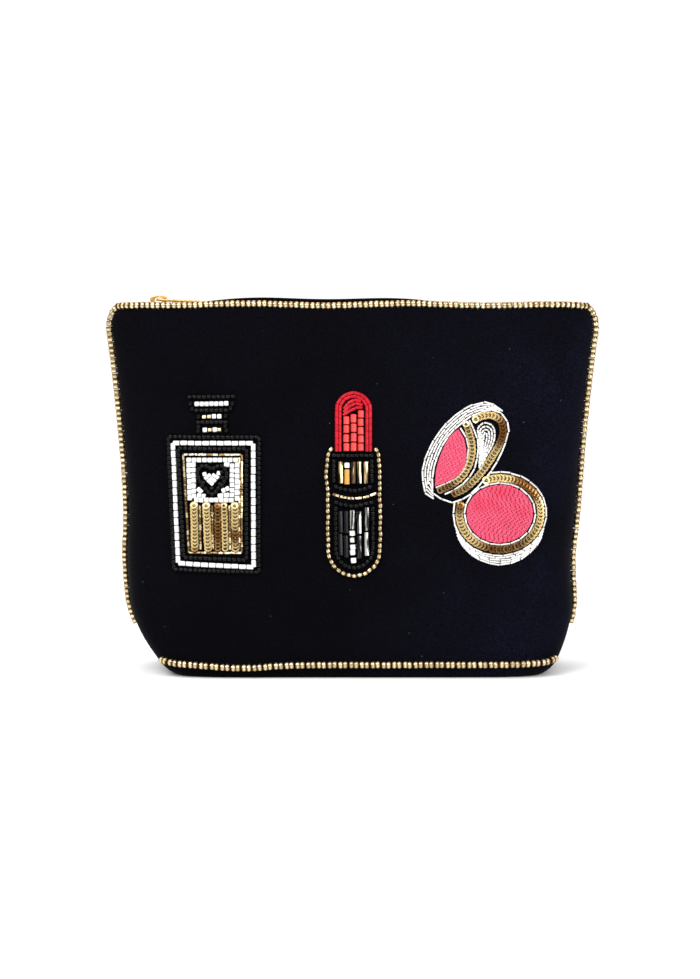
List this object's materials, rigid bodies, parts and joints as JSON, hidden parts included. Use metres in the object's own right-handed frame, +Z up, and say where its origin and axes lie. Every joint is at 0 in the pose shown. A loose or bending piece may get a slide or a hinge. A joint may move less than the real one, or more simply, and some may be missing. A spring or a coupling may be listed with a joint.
{
  "type": "makeup bag",
  "caption": "Zipped velvet pouch with a flat gusseted base, bead-edged seams and beaded cosmetic motifs on its front, for carrying makeup.",
  "frame": {"origin": "centre of the flat base, on the surface the bag stands on", "axes": "+Z up, the beaded front faces -Y, +X to the right of someone who looks at the front, along the zip"},
  "size_m": [0.1728, 0.0531, 0.1299],
  "materials": {
    "velvet": "black cotton velvet, dense short pile, faint blue cast",
    "felt": "matte non-woven interlining",
    "lining": "black satin, soft sheen",
    "board": "matte grey board",
    "tape": "black woven zip tape",
    "brass": "polished brass",
    "gilt": "bright gilt, mirror-like",
    "gold_glass": "clear glass with a gold lining, glossy",
    "black_glass": "opaque jet glass, glossy",
    "white_glass": "opaque chalk-white glass, glossy",
    "red_glass": "opaque red glass, satin",
    "gunmetal": "dark metallic glass tubes, glossy",
    "silver": "silver coiled wire, glittering",
    "pink_thread": "pink satin-stitch thread, silky sheen"
  },
  "bodies": {
    "base": {"base_panel": "velvet", "base_board": "board", "base_lining": "lining", "left_side_beads": "gold_glass", "right_side_beads": "gold_glass", "base_edge_beads": "gold_glass", "zip_bottom_stop": "brass"},
    "front": {"front_panel": "velvet", "front_interlining": "felt", "front_lining": "lining", "front_zip_tape": "tape", "front_zip_teeth": "brass", "front_top_stop": "brass", "top_edge_beads": "gold_glass", "perfume_black_frame": "black_glass", "perfume_white_frame": "white_glass", "perfume_inner_black_frame": "black_glass", "perfume_gold_frame": "gold_glass", "perfume_label": "white_glass", "perfume_heart": "black_glass", "perfume_sequins": "gilt", "perfume_neck": "black_glass", "perfume_stopper": "black_glass", "lipstick_bullet_outline": "red_glass", "lipstick_bullet_inline": "red_glass", "lipstick_bullet_fill": "red_glass", "lipstick_gold_outline": "gold_glass", "lipstick_collar_beads": "black_glass", "lipstick_collar_bugles": "gilt", "lipstick_gold_band": "gilt", "lipstick_case_beads": "black_glass", "lipstick_case_bugles": "gunmetal", "compact_pan_satin": "pink_thread", "compact_pan_sequins": "gilt", "compact_case_rim": "silver", "compact_lid_sequins": "gilt", "compact_lid_satin": "pink_thread", "compact_mirror": "silver", "compact_lid_rim": "silver"},
    "back": {"back_panel": "velvet", "back_interlining": "felt", "back_lining": "lining", "back_zip_tape": "tape", "back_zip_teeth": "brass", "back_top_stop": "brass"},
    "slider": {"zip_slider": "brass"},
    "pull": {"pull_tab": "gilt"}
  },
  "joints": [
    {"name": "zip_slide", "type": "slide", "parent": "base", "child": "slider", "axis": [1, 0, 0], "range_m": [0, 0.123]},
    {"name": "front_opens", "type": "hinge", "parent": "base", "child": "front", "pos_m": [0, -0.025, 0.0045], "axis": [1, 0, 0], "range_deg": [0, 9]},
    {"name": "back_opens", "type": "hinge", "parent": "base", "child": "back", "pos_m": [0, 0.025, 0.0045], "axis": [-1, 0, 0], "range_deg": [0, 9]},
    {"name": "pull_swing", "type": "hinge", "parent": "slider", "child": "pull", "pos_m": [-0.067, 0, 0.12835], "axis": [0, -1, 0], "range_deg": [0, 165]}
  ],
  "couplings": [
    {"joint": "front_opens", "follows": "zip_slide", "rad_per_m": 1.277},
    {"joint": "back_opens", "follows": "zip_slide", "rad_per_m": 1.277}
  ]
}
